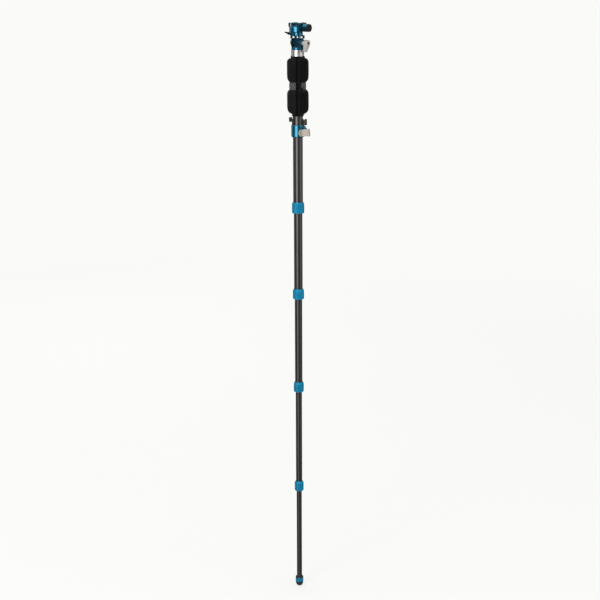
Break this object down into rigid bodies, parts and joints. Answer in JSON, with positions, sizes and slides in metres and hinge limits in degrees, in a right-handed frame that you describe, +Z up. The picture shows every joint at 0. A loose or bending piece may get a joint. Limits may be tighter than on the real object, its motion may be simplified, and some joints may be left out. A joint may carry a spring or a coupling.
{
  "type": "camera monopod",
  "caption": "Telescopic carbon camera monopod with blue twist locks, a padded black grip, a swivelling handle and a tilting, panning camera clamp.",
  "frame": {"origin": "on the leg's axis where the rubber foot meets the ground", "axes": "+Z up along the leg; +X along the tilt axis, from the head towards the clamp knob; +Y along the camera groove"},
  "size_m": [0.09, 0.0676, 1.978],
  "materials": {
    "blue_anodised": "satin",
    "silver_aluminium": "satin",
    "lever_metal": "satin",
    "carbon_tube": "satin",
    "steel": "satin",
    "dark_steel": "satin",
    "black_plastic": "matte",
    "guide_plastic": "matte",
    "black_rubber": "matte",
    "grip_fabric": "matte",
    "waist_fabric": "matte"
  },
  "bodies": {
    "foot_section": {"leg_tube_5": "carbon_tube", "guide_bush_4": "guide_plastic", "rubber_foot": "black_rubber", "foot_ring": "blue_anodised", "foot_rim": "black_plastic", "foot_plug": "silver_aluminium"},
    "leg_section_4": {"leg_tube_4": "carbon_tube", "guide_bush_3": "guide_plastic", "lock_ferrule_4": "silver_aluminium", "lock_collet_4": "guide_plastic"},
    "leg_section_3": {"leg_tube_3": "carbon_tube", "guide_bush_2": "guide_plastic", "lock_ferrule_3": "silver_aluminium", "lock_collet_3": "guide_plastic"},
    "leg_section_2": {"leg_tube_2": "carbon_tube", "guide_bush_1": "guide_plastic", "lock_ferrule_2": "silver_aluminium", "lock_collet_2": "guide_plastic"},
    "leg_section_1": {"leg_tube_1": "carbon_tube", "lock_ferrule_1": "silver_aluminium", "lock_collet_1": "guide_plastic", "swivel_collar": "blue_anodised", "swivel_nut": "steel"},
    "twist_lock_4": {"lock_collar_4": "blue_anodised", "dust_seal_4": "black_rubber"},
    "twist_lock_3": {"lock_collar_3": "blue_anodised", "dust_seal_3": "black_rubber"},
    "twist_lock_2": {"lock_collar_2": "blue_anodised", "dust_seal_2": "black_rubber"},
    "twist_lock_1": {"lock_collar_1": "blue_anodised", "dust_seal_1": "black_rubber"},
    "swivel_lock": {"swivel_lever": "lever_metal", "swivel_screw": "steel"},
    "handle": {"handle_tube": "carbon_tube", "swivel_snap_ring": "steel", "strap_clip": "black_plastic", "strap_tab": "lever_metal", "grip_lower_pad": "grip_fabric", "grip_upper_pad": "grip_fabric", "grip_waist_band": "waist_fabric", "grip_flap": "grip_fabric", "top_ferrule": "silver_aluminium", "mounting_stud": "steel", "head_yoke": "blue_anodised", "tilt_axle": "dark_steel", "tilt_washers": "black_plastic"},
    "strap_thumb_screw": {"strap_screw": "black_plastic"},
    "tilt_platform": {"tilt_block": "blue_anodised", "pan_retaining_ring": "steel"},
    "tilt_lock": {"tilt_lever": "lever_metal"},
    "pan_lock": {"pan_lock_lever": "dark_steel", "pan_lock_screw": "steel"},
    "pan_platform": {"pan_body": "blue_anodised", "groove_stop_pin": "steel"},
    "moving_jaw": {"clamp_jaw": "blue_anodised", "jaw_pins": "steel", "jaw_guide_rods": "steel"},
    "clamp_screw": {"jaw_screw": "steel", "clamp_knob": "blue_anodised", "knob_grip": "black_rubber"}
  },
  "joints": [
    {"name": "foot_section_extension", "type": "slide", "parent": "foot_section", "child": "leg_section_4", "axis": [0, 0, 1], "range_m": [-0.32, 0]},
    {"name": "section_4_extension", "type": "slide", "parent": "leg_section_4", "child": "leg_section_3", "axis": [0, 0, 1], "range_m": [-0.32, 0]},
    {"name": "section_3_extension", "type": "slide", "parent": "leg_section_3", "child": "leg_section_2", "axis": [0, 0, 1], "range_m": [-0.28, 0]},
    {"name": "section_2_extension", "type": "slide", "parent": "leg_section_2", "child": "leg_section_1", "axis": [0, 0, 1], "range_m": [-0.24, 0]},
    {"name": "twist_lock_4_turn", "type": "hinge", "parent": "leg_section_4", "child": "twist_lock_4", "pos_m": [0, 0, 0.3878], "axis": [0, 0, 1], "range_deg": [0, 120]},
    {"name": "twist_lock_3_turn", "type": "hinge", "parent": "leg_section_3", "child": "twist_lock_3", "pos_m": [0, 0, 0.756], "axis": [0, 0, 1], "range_deg": [0, 120]},
    {"name": "twist_lock_2_turn", "type": "hinge", "parent": "leg_section_2", "child": "twist_lock_2", "pos_m": [0, 0, 1.0864], "axis": [0, 0, 1], "range_deg": [0, 120]},
    {"name": "twist_lock_1_turn", "type": "hinge", "parent": "leg_section_1", "child": "twist_lock_1", "pos_m": [0, 0, 1.3796], "axis": [0, 0, 1], "range_deg": [0, 120]},
    {"name": "swivel_lever_turn", "type": "hinge", "parent": "leg_section_1", "child": "swivel_lock", "pos_m": [0.028, -0.012, 1.63], "axis": [0, -1, 0], "range_deg": [-60, 0]},
    {"name": "handle_turn", "type": "hinge", "parent": "leg_section_1", "child": "handle", "pos_m": [0, 0, 1.64], "axis": [0, 0, 1], "continuous": true},
    {"name": "strap_screw_turn", "type": "hinge", "parent": "handle", "child": "strap_thumb_screw", "pos_m": [0.02076, 0.01565, 1.6612], "axis": [0.7986, 0.6018, 0], "continuous": true},
    {"name": "tilt", "type": "hinge", "parent": "handle", "child": "tilt_platform", "pos_m": [0, 0, 1.913], "axis": [1, 0, 0], "range_deg": [-90, 90]},
    {"name": "tilt_lever_turn", "type": "hinge", "parent": "handle", "child": "tilt_lock", "pos_m": [0.035, 0, 1.913], "axis": [1, 0, 0], "range_deg": [0, 90]},
    {"name": "pan_lock_turn", "type": "hinge", "parent": "tilt_platform", "child": "pan_lock", "pos_m": [-0.033, 0, 1.9415], "axis": [1, 0, 0], "range_deg": [0, 40]},
    {"name": "pan", "type": "hinge", "parent": "tilt_platform", "child": "pan_platform", "pos_m": [0, 0, 1.951], "axis": [0, 0, 1], "continuous": true},
    {"name": "jaw_travel", "type": "slide", "parent": "pan_platform", "child": "moving_jaw", "axis": [1, 0, 0], "range_m": [0, 0.01]},
    {"name": "clamp_knob_turn", "type": "hinge", "parent": "moving_jaw", "child": "clamp_screw", "pos_m": [0.035, 0, 1.9608], "axis": [1, 0, 0], "range_deg": [0, 1800]}
  ],
  "couplings": [
    {"joint": "clamp_knob_turn", "follows": "jaw_travel", "rad_per_m": 3141.6}
  ]
}
